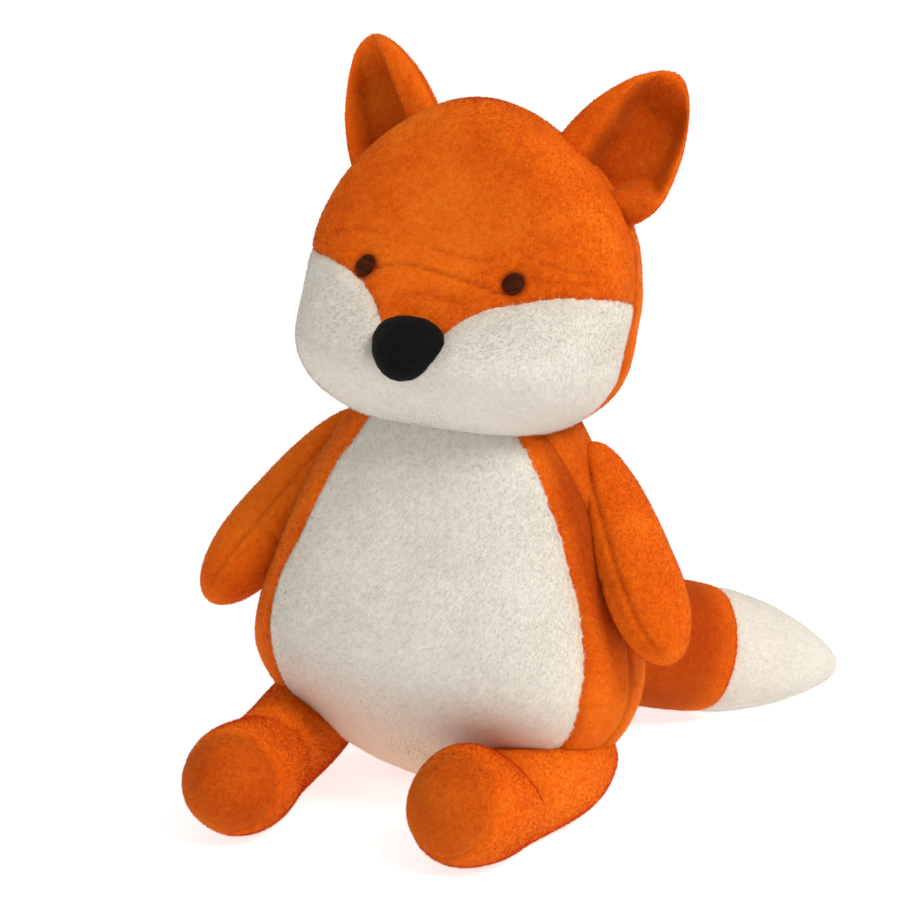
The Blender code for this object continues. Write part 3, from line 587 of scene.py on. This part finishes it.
def covered(name, surface, field, cloth, bodies, nodes, line=None, flow=downward, seed=1, density=1.0, tufts=0.0):
    """A panel of a surface with its pile. Field is positive on the panel; painted shade runs from 0 to 1.

    Cloth is the material with its slot. The panel rides on the first body, or stays where it is when a line is
    given.

    Tufts is the density of longer fibres that stand out every way within a few mm of the panel's edge."""
    material, slot = cloth
    points, triangles, normals, painted_shade = surface
    data = np.column_stack((points, normals, np.clip(painted_shade, 0.0, 1.0), field))
    data, triangles = cut(data, triangles, field)
    count = len(data)
    attributes = {"tip": np.full(count, BACKING_TIP), "shade": np.full(count, 0.5), "painted_shade": data[:, 6]}
    cover = mesh_piece(name, data[:, :3], triangles, material, attributes)
    attach(cover, bodies, line)
    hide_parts(*nodes)
    pile = (PILE_DENSITY * density, PILE_LENGTH, PILE_WIDTH, PILE_LEAN)
    verts, facing, attributes = fibres(data, triangles, *pile, flow, seed)
    if tufts:
        edge = triangles[data[triangles, 7].max(1) < TUFT_REACH]
        anyway = lambda root: np.random.default_rng(seed + 500).normal(0.0, 1.0, root.shape)
        more, ways, extra = fibres(data, edge, tufts, TUFT_LENGTH, TUFT_WIDTH, TUFT_LEAN, anyway, seed + 501)
        verts, facing = np.concatenate((verts, more)), np.concatenate((facing, ways))
        attributes = {key: np.concatenate((values, extra[key])) for key, values in attributes.items()}
    pile = fibre_piece(name.replace("_cover", "") + "_pile", verts, facing, material, attributes)
    attach(pile, bodies, line)


def lying(axis, seeds):
    """The nap lies along an axis and wanders slowly from place to place."""
    return lambda root: axis + 0.3 * np.stack([noise(root, 0.03, k) for k in seeds], -1)


def lumpy(points, triangles, seed, height=0.7 * MM):
    """The surface pushed out and in along its normals by the unevenness of the filling."""
    normals = normals_of(points, triangles)
    lumps = height * noise(points, 0.034, seed) + 0.35 * height * noise(points, 0.013, seed + 1)
    return points + normals * lumps[:, None]


def flatten(points):
    """The surface rests on the floor: what would be lower lies flat on it."""
    placed = points.copy()
    low = placed[:, 2]
    soft = 2.0 * MM
    placed[:, 2] = np.where(low < soft, soft * np.exp((low - soft) / soft), low)
    return placed


def arm_shade(points, word, side):
    """1 where an arm lies on the body and shades it, 0 from 50 mm off its middle line: the mask of a painted
    shade.
    """
    top = np.array((ARM_TOP[0] * side, ARM_TOP[1], ARM_TOP[2]))
    way = np.array(ARM_ENDS[word]) - top
    share = np.clip((points - top) @ way / (way @ way), 0.0, 1.0)
    away = np.linalg.norm(points - top - share[:, None] * way, axis=1)
    return smooth(50.0 * MM, 27.0 * MM, away) * smooth(1.0, 0.6, share)


def make_body():
    """Tummy, two sides and back. The seams draw the surface in by seam_dip of the distance to them.

    Painted shade darkens the seams and the sides under the arms, and a painted warm tint low on the
    tummy stands for light bounced up from the legs and floor."""
    rows, columns = ((190, 330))
    points, triangles, _, _ = form_surface(BODY, rows, columns)
    points = lumpy(points, triangles, 21)
    normals = normals_of(points, triangles)
    x, y, z = points.T
    right, right_slope = border_value(TUMMY_RIGHT, z)
    left, left_slope = border_value(TUMMY_LEFT, z)
    reach, slope = np.where(x > 0.0, left, right), np.where(x > 0.0, left_slope, right_slope)
    tummy_signed = (reach - np.abs(x)) / np.sqrt(1.0 + slope**2)
    front = y < BODY_SEAM_Y
    dip = np.where(front, seam_dip(tummy_signed, 1.1 * MM, 2.2 * MM), 0.0)
    dip += seam_dip(y - BODY_SEAM_Y, 1.5 * MM, 2.6 * MM)
    points = points - normals * dip[:, None]
    points = flatten(points)
    # Painted shade in the seams, fading out upwards between 0.10 and 0.19 m.
    painted_shade = dip / (1.5 * MM) * 0.35 * smooth(0.19, 0.10, z)
    # Painted shade on the sides where the arms shade the body, weaker behind the side seam.
    painted_arm_shade = np.maximum(arm_shade(points, "left", 1.0), arm_shade(points, "right", -1.0))
    painted_shade += np.where(front, 0.66, 0.25) * painted_arm_shade * smooth(0.0, -6.0 * MM, tummy_signed)
    # Painted warm tint low on the tummy, for light bounced up from the legs and floor.
    painted_shade += 0.50 * smooth(0.085, 0.015, z) * smooth(0.0, 6.0 * MM, tummy_signed) * front
    surface = (points, triangles, normals_of(points, triangles), painted_shade)
    behind = y - BODY_SEAM_Y
    ragged = noise(points, BORDER_RAGGED_SIZE, 31) * BORDER_RAGGED
    tummy_field = np.minimum(tummy_signed + ragged, -behind)
    inside = ["tummy_panel", "body_stuffing", "pellet_bag"]
    covered("tummy_cover", surface, tummy_field, WHITE_CLOTH, ["torso"], inside, seed=41, tufts=TUFT_DENSITY)
    side_field = np.minimum(-(tummy_signed + ragged), -behind)
    for word, half, seed in (("left", x, 42), ("right", -x, 43)):
        panel = np.minimum(side_field, half)
        covered("side_cover_" + word, surface, panel, ORANGE_CLOTH, ["torso"], ["side_panel_" + word], seed=seed)
    covered("back_cover", surface, behind, ORANGE_CLOTH, ["torso"], ["back_panel"], seed=44, density=0.7)


def face_fields(points):
    """Signed distance below the forehead's border, and distance in front of the side seam."""
    x, y, z = points.T
    out = np.hypot(x, y - HEAD["start"][1])
    turn = np.degrees(np.arctan2(x, HEAD["start"][1] - y))
    height, slope = border_value(FOREHEAD_EDGE, turn)
    below = (height - z) / np.sqrt(1.0 + (np.degrees(slope) / np.maximum(out, 0.01)) ** 2)
    seam = (HEAD_SEAM_Y - y) * math.cos(HEAD_SEAM_TILT) + (z - HEAD_SEAM_Z) * math.sin(HEAD_SEAM_TILT)
    return below, seam


def head_point(x, z):
    """Point and outward normal on the front of the head at X and Z."""
    def at(px, pz):
        share = (pz - HEAD["start"][2]) / (HEAD["end"][2] - HEAD["start"][2])
        turns = np.linspace(-np.pi, 0.0, 2001)
        line = form_points(HEAD, np.full(2001, share), turns)
        return line[np.argmin(np.abs(line[:, 0] - px))]
    step = 0.002
    here = at(x, z)
    sideways = at(x + step, z) - at(x - step, z)
    upwards = at(x, z + step) - at(x, z - step)
    normal = unit(np.cross(sideways, upwards))
    return here, normal if normal[1] < 0.0 else -normal


def make_head():
    """Forehead, muzzle and back of the head, with the seams, dimples and wrinkles drawn in.

    A dimple or wrinkle is depth times exp(-(distance / width)^2). Painted shade darkens the seams, the
    eyes' rims and the wrinkles."""
    rows, columns = ((180, 300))
    points, triangles, _, _ = form_surface(HEAD, rows, columns)
    points = lumpy(points, triangles, 51, 0.6 * MM)
    normals = normals_of(points, triangles)
    below, seam = face_fields(points)
    x, _, z = points.T
    front = seam > 0.0
    dip = np.where(front, seam_dip(below, 0.8 * MM, 1.8 * MM), 0.0)
    dip += seam_dip(seam, 1.6 * MM, 2.6 * MM)
    # Painted shade in the seams.
    painted_shade = 0.40 * dip / (1.6 * MM)
    # A darker patch on the top of the forehead.
    painted_shade += 0.09 * np.exp(-(((x - 0.012) / 0.030) ** 2) - ((z - 0.335) / 0.020) ** 2) * front
    for side in (-1.0, 1.0):
        centre, _ = head_point(side * EYE_SPREAD, EYE_Z)
        ring = np.linalg.norm(points - centre, axis=1)
        # Painted shade round the rim of each eye, where it sits in its dimple.
        painted_shade += 0.75 * np.exp(-(((ring - EYE_RADIUS) / (1.7 * MM)) ** 2))
        dip += 1.8 * MM * np.exp(-((ring / (8.5 * MM)) ** 2))
    stray_x, stray_z = (0.7 * MM * noise(points, 0.015, seed) for seed in (57, 58))
    for depth, width, line in FACE_WRINKLES:
        wander = line_distance(line, x + stray_x, z + stray_z)
        fold = np.where(front, np.exp(-((wander / (width * MM)) ** 2)), 0.0)
        dip += depth * MM * fold
        # Painted shade in the wrinkle.
        painted_shade += 0.25 * depth * fold
    centre, _ = head_point(0.0, NOSE_Z)
    dip += 1.5 * MM * np.exp(-((np.linalg.norm(points - centre, axis=1) / 0.020) ** 4))
    points = points - normals * dip[:, None]
    surface = (points, triangles, normals_of(points, triangles), painted_shade)
    ragged = noise(points, BORDER_RAGGED_SIZE, 32) * BORDER_RAGGED
    above, under = np.minimum(-(below + ragged), seam), np.minimum(below + ragged, seam)
    covered("forehead_cover", surface, above, ORANGE_CLOTH, ["head"], ["forehead_panel", "head_stuffing"], seed=61)
    covered("muzzle_cover", surface, under, WHITE_CLOTH, ["head"], ["muzzle_panel"], seed=62, tufts=TUFT_DENSITY)
    covered("head_back_cover", surface, -seam, ORANGE_CLOTH, ["head"], ["head_back_panel"], seed=63, density=0.7)


def make_nose():
    """A plump ball of velour, broad above and narrow below, gathered where it is sewn down."""
    centre, normal = head_point(0.0, NOSE_Z)
    side = np.array((1.0, 0.0, 0.0))
    up = unit(np.cross(normal, side))
    rows, columns = 70, 110
    square = 2.15
    steps = np.linspace(0.0, 1.0, rows)
    polar = np.concatenate(((0.0,), np.repeat(steps[1:-1] * np.pi, columns), (np.pi,)))
    turn = np.concatenate(((0.0,), np.tile(np.arange(columns) / columns * 2.0 * np.pi, rows - 2), (0.0,)))
    a, b, c = np.sin(polar) * np.cos(turn), np.sin(polar) * np.sin(turn), np.cos(polar)
    flat = np.abs(a) ** square + np.abs(b) ** square
    swollen = np.where(flat > 0.0, (np.sin(polar) ** square / np.maximum(flat, 1e-9)) ** (1.0 / square), 1.0)
    a, b = a * swollen, b * swollen
    width = NOSE_HALF_WIDTH * (1.0 + 0.26 * b)
    local = np.stack((a * width, b * NOSE_HALF_HEIGHT, c * NOSE_DEPTH), -1)
    pucker = 0.12 * MM * np.sin(turn * 17.0 + 2.0 * np.sin(turn * 3.0)) * smooth(0.95, 0.45, c) * np.sin(polar)
    local += unit(local) * pucker[:, None]
    points = centre + local @ np.array((side, up, normal))
    triangles = outward(points - centre, grid_triangles(rows, columns))
    points = lumpy(points, triangles, 71, 0.35 * MM)
    extra = {"tip": np.full(len(points), 0.2), "shade": np.full(len(points), 0.5)}
    nose = mesh_piece("nose_ball", points, triangles, VELOUR, extra)
    attach(nose, ["head"], None)
    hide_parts("nose_cover", "nose_stuffing")
    data = np.column_stack((points, normals_of(points, triangles), np.zeros(len(points))))
    nap = (NOSE_NAP_DENSITY, NOSE_NAP_LENGTH, NOSE_NAP_WIDTH, NOSE_NAP_LEAN)
    verts, facing, attributes = fibres(data, triangles, *nap, downward, 72)
    attach(fibre_piece("nose_nap", verts, facing, VELOUR, attributes), ["head"], None)


def make_eye(side, word, seed):
    """Satin stitch: strands of thread side by side across a raised disc, each a low half-round ridge."""
    centre, normal = head_point(side * EYE_SPREAD, EYE_Z)
    centre = centre - normal * 1.2 * MM
    random = np.random.default_rng(seed)
    across = unit(np.cross((0.0, 0.0, 1.0), normal))
    up = np.cross(normal, across)
    tilt = math.radians(12.0 * side)
    u_axis = across * math.cos(tilt) + up * math.sin(tilt)
    v_axis = np.cross(normal, u_axis)
    radius, strand = EYE_RADIUS, 0.42 * MM
    points, triangles, shades, made = [], [], [], 0
    steps, ring = 15, 8
    for layer, lift in enumerate((0.0, 0.35 * MM)):
        for offset in np.arange(-radius + strand / 2.0, radius, strand * (1.0 if layer else 1.15)):
            half = math.sqrt(max(radius**2 - offset**2, 0.0)) + random.normal(0.0, 0.16 * MM)
            if half < strand:
                continue
            t = np.linspace(-1.0, 1.0, steps)
            bow = 1.3 * MM * (1.0 - (offset / radius) ** 2) * (1.0 - np.abs(t) ** 3.0)
            wobble = random.normal(0.0, 0.03 * MM, steps)
            angles = np.arange(ring) / ring * 2.0 * np.pi
            thick = strand * 0.62 * np.sqrt(np.clip(1.0 - np.abs(t) ** 6.0, 0.02, 1.0))
            line = (
                centre + u_axis * (t * half)[:, None]
                + v_axis * (offset + wobble)[:, None] + normal * (bow + lift)[:, None]
            )
            tube = line[:, None] + thick[:, None, None] * (
                v_axis * np.cos(angles)[:, None] + normal * np.sin(angles)[:, None]
            )
            body = np.concatenate((line[:1], tube[1:-1].reshape(-1, 3), line[-1:]))
            points.append(body)
            triangles.append(outward(body - line[steps // 2], grid_triangles(steps, ring)) + made)
            shades.append(np.full(len(body), random.random()))
            made += len(body)
    points, triangles = np.concatenate(points), np.concatenate(triangles)
    shades = np.concatenate(shades)
    eye = mesh_piece("eye_stitches_" + word, points, triangles, THREAD, {"shade": shades})
    attach(eye, ["head"], None)
    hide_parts("eye_" + word)


def limb_form(base, start, end, up):
    """The base form placed between two points."""
    return {**base, "start": start, "end": end, "up": up}


def make_arm(side, word, seed):
    """Outer and inner panel of an arm, sewn along the middle, with a soft fold near the hand."""
    top = (ARM_TOP[0] * side, ARM_TOP[1], ARM_TOP[2])
    out = (side * math.cos(SHOULDER_SLOPE), 0.0, math.sin(SHOULDER_SLOPE))
    form = limb_form(ARM, top, ARM_ENDS[word], out)
    rows, columns = ((120, 100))
    points, triangles, shares, _ = form_surface(form, rows, columns)
    points = lumpy(points, triangles, seed, 0.5 * MM)
    normals = normals_of(points, triangles)
    start, axes, length = form_frame(form)
    up = (points - start) @ axes[2]
    along = (points - start) @ axes[1]
    dip = seam_dip(up, 0.9 * MM, 1.7 * MM) * smooth(0.06, 0.16, shares) * smooth(1.0, 0.9, shares)
    fold = along - 0.62 * length - 6.0 * MM * noise(points, 0.02, seed + 5)
    dip += 0.7 * MM * np.exp(-((fold / (2.4 * MM)) ** 2)) * smooth(0.3, -0.4, up / 0.02)
    points = points - normals * dip[:, None]
    # Painted shade in the middle seam and in the fold near the hand.
    surface = (points, triangles, normals_of(points, triangles), 0.15 * dip / MM)
    bodies = ["torso", "arm_" + word]
    line = (start + axes[1] * 0.004, start + axes[1] * 0.034)
    flow = lying(axes[1], (14, 15, 16))
    outer, inner = ["arm_outer_panel_" + word, "arm_stuffing_" + word], ["arm_inner_panel_" + word]
    covered("arm_outer_cover_" + word, surface, up, ORANGE_CLOTH, bodies, outer, line, flow=flow, seed=seed + 1)
    covered("arm_inner_cover_" + word, surface, -up, ORANGE_CLOTH, bodies, inner, line, flow=flow, seed=seed + 2)


def make_leg(word, seed):
    """Leg and sole. The sole's seam lies in a plane that tilts back at the top of the foot."""
    form = {**limb_form(LEG, LEG_HIPS[word], LEG_FEET[word], (0.0, 0.0, 1.0)), "rows": LEG_ROWS[word]}
    rows, columns = ((130, 120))
    points, triangles, _, _ = form_surface(form, rows, columns)
    points = lumpy(points, triangles, seed, 0.6 * MM)
    normals = normals_of(points, triangles)
    start, axes, length = form_frame(form)
    along = (points - start) @ axes[1]
    up = (points - start) @ axes[2]
    sole = along - (length - SOLE_DEPTHS[word]) + SOLE_TILT * up
    dip = seam_dip(sole, 1.8 * MM, 2.2 * MM)
    ankle = along - 0.63 * length - 0.25 * (up - LEG["high"])
    fold = ANKLE_DEPTHS[word] * np.exp(-((ankle / (5.0 * MM)) ** 2)) * smooth(-0.5, 0.5, up / LEG["high"])
    # Painted shade in the sole's seam and the ankle's fold, and over the whole sole, which faces away from the
    # light.
    painted_shade = 0.07 * dip / MM + 0.05 * fold + 0.40 * smooth(-1.0 * MM, 5.0 * MM, sole)
    dip += fold * MM
    points = flatten(points - normals * dip[:, None])
    surface = (points, triangles, normals_of(points, triangles), painted_shade)
    bodies = ["torso", "leg_" + word]
    line = (start - axes[1] * 0.002, start + axes[1] * 0.045)
    flow = lying(axes[1], (17, 18, 19))
    inside = ["leg_cover_" + word, "leg_stuffing_" + word]
    name = "leg_cover_shell_" + word
    covered(name, surface, -sole, ORANGE_CLOTH, bodies, inside, line, flow=flow, seed=seed + 1)
    covered("sole_cover_" + word, surface, sole, ORANGE_CLOTH, bodies, ["sole_pad_" + word], line, seed=seed + 2)


def make_tail():
    """Sleeve and tip. The border lies across the tail and wanders a little."""
    rows, columns = ((150, 150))
    points, triangles, _, _ = form_surface(TAIL, rows, columns)
    points = lumpy(points, triangles, 91)
    normals = normals_of(points, triangles)
    start, axes, length = form_frame(TAIL)
    along = (points - start) @ axes[1]
    border = along - TAIL_TIP_SHARE * length + 1.5 * MM * noise(points, 0.03, 95)
    points = flatten(points - normals * seam_dip(border, 1.0 * MM, 2.0 * MM)[:, None])
    # Painted shade in the border's seam, and a painted shadow over the sleeve where the arm and body shade it.
    painted_shade = 0.4 * np.exp(-((border / (1.5 * MM)) ** 2)) + 0.60 * smooth(2.0 * MM, -22.0 * MM, border)
    surface = (points, triangles, normals_of(points, triangles), painted_shade)
    ragged = noise(points, BORDER_RAGGED_SIZE, 33) * BORDER_RAGGED
    flow = lying(axes[1], (20, 21, 22))
    line = (start + axes[1] * 0.004, start + axes[1] * 0.040)
    bodies = ["torso", "tail"]
    border = border + ragged
    inside = ["tail_sleeve", "tail_stuffing"]
    covered("tail_sleeve_cover", surface, -border, ORANGE_CLOTH, bodies, inside, line, flow=flow, seed=96)
    tip = {"flow": flow, "seed": 97, "tufts": TUFT_DENSITY}
    covered("tail_tip_cover", surface, border, WHITE_CLOTH, bodies, ["tail_tip"], line, **tip)


EAR = {
    "side": 0.0305, "low": 0.0085, "high": 0.0105, "round": (2.6, 2.0, 2.0, 2.0),
    "rows": (
        (0.00, 0.72, 0.90, 0.90, 0.0), (0.30, 1.00, 1.00, 1.00, 0.0), (0.60, 0.90, 0.98, 0.98, 0.0),
        (0.82, 0.80, 0.94, 0.94, 0.0), (1.00, 0.72, 0.84, 0.84, 0.0),
    ),
}
EAR_MEAN_ROUND = 2.3
EAR_ENDS = {
    "left": ((0.0500, 0.043, 0.290), (0.0885, 0.066, 0.367)),
    "right": ((-0.0375, 0.043, 0.290), (-0.0845, 0.066, 0.3715)),
}


def make_ear(side, word, seed):
    """Two leaves sewn face to face round their rim, their inner edge rolled forwards over a hollow.

    A point's e is its distance from the middle line over the half width there, 1 at the inner rim.
    The leaf bends forwards with the square of e, more on the inner side. The front leaf stands out
    in the roll near the inner rim, sinks in beside it, and stands out again where the base is gathered."""
    root, tip = EAR_ENDS[word]
    form = {**EAR, "start": root, "end": tip, "up": (-0.05 * side, 0.96, -0.27)}
    rows, columns = ((150, 170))
    points, triangles, shares, turns = form_surface(form, rows, columns)
    start, axes, _ = form_frame(form)
    local = (points - start) @ axes.T
    envelope = np.sqrt(np.clip(1.0 - np.abs(2.0 * shares - 1.0) ** EAR_MEAN_ROUND, 0.0, 1.0))
    half = EAR["side"] * row_values(EAR["rows"], shares)[:, 0] * envelope + 1e-6
    e = local[:, 0] / half * side
    front = np.clip(-np.sin(turns), 0.0, 1.0)
    base = 0.14 + 0.22 * smooth(0.25, -0.5, e)
    edge = 0.44 + 0.12 * smooth(0.55, 0.95, shares)
    roll = smooth(edge - 0.08, edge + 0.10, e) * smooth(1.0, 0.86, shares) * smooth(0.03, 0.12, shares)
    knuckle = np.exp(-(((e - 0.65) / 0.40) ** 2)) * np.exp(-(((shares - 0.19) / 0.08) ** 2))
    hollow = smooth(edge, edge - 0.20, e) * smooth(-1.05, -0.55, e) * smooth(base - 0.04, base + 0.07, shares)
    hollow *= smooth(0.97, 0.76, shares)
    gather = np.exp(-(((e + 0.40) / 0.42) ** 2)) * np.exp(-(((shares - 0.21) / 0.10) ** 2))
    local[:, 2] -= front**0.5 * (9.0 * roll + 6.0 * knuckle - 13.0 * hollow + 5.0 * gather) * MM
    bend = np.where(e > 0.0, 15.0, 7.0) * MM * (1.0 - 0.45 * shares)
    local[:, 2] -= bend * np.clip(np.abs(e), 0.0, 1.3) ** 2 * (half / EAR["side"])
    points = start + local @ axes
    triangles = outward(points - points.mean(0), triangles)
    points = lumpy(points, triangles, seed, 0.5 * MM)
    normals = normals_of(points, triangles)
    rim = np.exp(-((np.abs(np.sin(turns)) / 0.07) ** 2))
    points = points - normals * (0.9 * MM * rim)[:, None]
    # Painted shade: at the foot of the roll's wall, in the fold and lobe at the base, in the pocket under the
    # roll, in the hollow and in the rim's seam.
    wall_shade = np.exp(-(((e - edge + 0.05) / 0.08) ** 2)) * smooth(0.10, 0.20, shares) * smooth(0.97, 0.80, shares)
    fold = np.exp(-(((shares - base) / 0.035) ** 2)) * smooth(0.05, -0.1, e) * smooth(-1.0, -0.6, e)
    lobe_shade = smooth(base + 0.03, base - 0.05, shares) * smooth(0.05, -0.15, e)
    pocket_shade = np.exp(-(((e - 0.26) / 0.22) ** 2)) * np.exp(-(((shares - 0.25) / 0.09) ** 2))
    painted_fold_shade = 0.34 * hollow + 0.60 * wall_shade + 0.20 * fold + 0.30 * lobe_shade + 0.45 * pocket_shade
    painted_shade = 0.35 * rim * (shares > 0.05) + front**0.5 * painted_fold_shade
    surface = (points, triangles, normals_of(points, triangles), painted_shade)
    flow = lying(axes[1], (23, 24, 25))
    bodies = ["head", "ear_" + word]
    line = (start + axes[1] * 0.010, start + axes[1] * 0.040)
    field = -np.sin(turns)
    for leaf, facing, step in (("ear_lining_", field, 1), ("ear_back_", -field, 2)):
        name = leaf + "cover_" + word
        covered(name, surface, facing, ORANGE_CLOTH, bodies, [leaf + word], line, flow=flow, seed=seed + step)


def dress_frame():
    """Gives every CAD node its fabric, also those that the covers stand for."""
    looks = {
        "orange_pile": ORANGE, "white_pile": WHITE, "eye_thread": THREAD, "nose_velour": VELOUR,
        "fibre_fill": FILL, "bag_cloth": FILL,
    }
    slots = {part["node"]: part["material_slot"] for part in frame["record"]["subparts"]}
    for name, node in frame["nodes"].items():
        node.data.materials.clear()
        node.data.materials.append(looks[slots[name]])


def studio():
    """White floor, pale world, and one wide soft key light from the upper right."""
    size = 6.0
    mesh = bpy.data.meshes.new("floor")
    corners = [(-size, -size, 0.0), (size, -size, 0.0), (size, size, 0.0), (-size, size, 0.0)]
    mesh.from_pydata(corners, [], [(0, 1, 2, 3)])
    floor = bpy.data.objects.new("floor", mesh)
    bpy.context.scene.collection.objects.link(floor)
    made, _, shader = new_material("white_sweep")
    shader.inputs["Base Color"].default_value = (0.56, 0.56, 0.56, 1.0)
    shader.inputs["Roughness"].default_value = 0.9
    shader.inputs["Specular IOR Level"].default_value = 0.0
    shader.inputs["Emission Color"].default_value = (1.0, 1.0, 1.0, 1.0)
    shader.inputs["Emission Strength"].default_value = 0.74
    mesh.materials.append(made)
    world = bpy.data.worlds.new("pale_studio")
    world.use_nodes = True
    world.node_tree.nodes["Background"].inputs["Color"].default_value = (1.0, 1.0, 1.0, 1.0)
    world.node_tree.nodes["Background"].inputs["Strength"].default_value = 0.61
    bpy.context.scene.world = world
    light = bpy.data.lights.new("key_light", "SUN")
    light.energy = 2.35
    light.angle = math.radians(24.0)
    light.color = (1.0, 0.985, 0.96)
    lamp = bpy.data.objects.new("key_light", light)
    lamp.rotation_euler = Vector((-1.40, 0.34, -1.60)).to_track_quat("-Z", "Y").to_euler()
    bpy.context.scene.collection.objects.link(lamp)
    bpy.context.scene.view_settings.view_transform = "Standard"


def camera():
    """The photograph's camera: a long lens to the fox's left and a little above."""
    data = bpy.data.cameras.new("camera")
    data.lens = 144.0
    data.sensor_width = 36.0
    data.clip_end = 20.0
    made = bpy.data.objects.new("camera", data)
    turn, rise, distance = math.radians(28.0), math.radians(16.4), 1.8
    target = Vector((-0.0025, -SEAT_Y, 0.180))
    away = Vector((math.sin(turn) * math.cos(rise), -math.cos(turn) * math.cos(rise), math.sin(rise)))
    made.location = target + away * distance
    made.rotation_euler = (-away).to_track_quat("-Z", "Y").to_euler()
    bpy.context.scene.collection.objects.link(made)
    bpy.context.scene.camera = made


dress_frame()
make_body()
make_head()
make_nose()
make_eye(1.0, "left", 81)
make_eye(-1.0, "right", 82)
for limb_side, limb_word, limb_seed in ((1.0, "left", 101), (-1.0, "right", 111)):
    make_ear(limb_side, limb_word, limb_seed)
    make_arm(limb_side, limb_word, limb_seed + 20)
    make_leg(limb_word, limb_seed + 40)
make_tail()
studio()
camera()
bpy.context.view_layer.update()
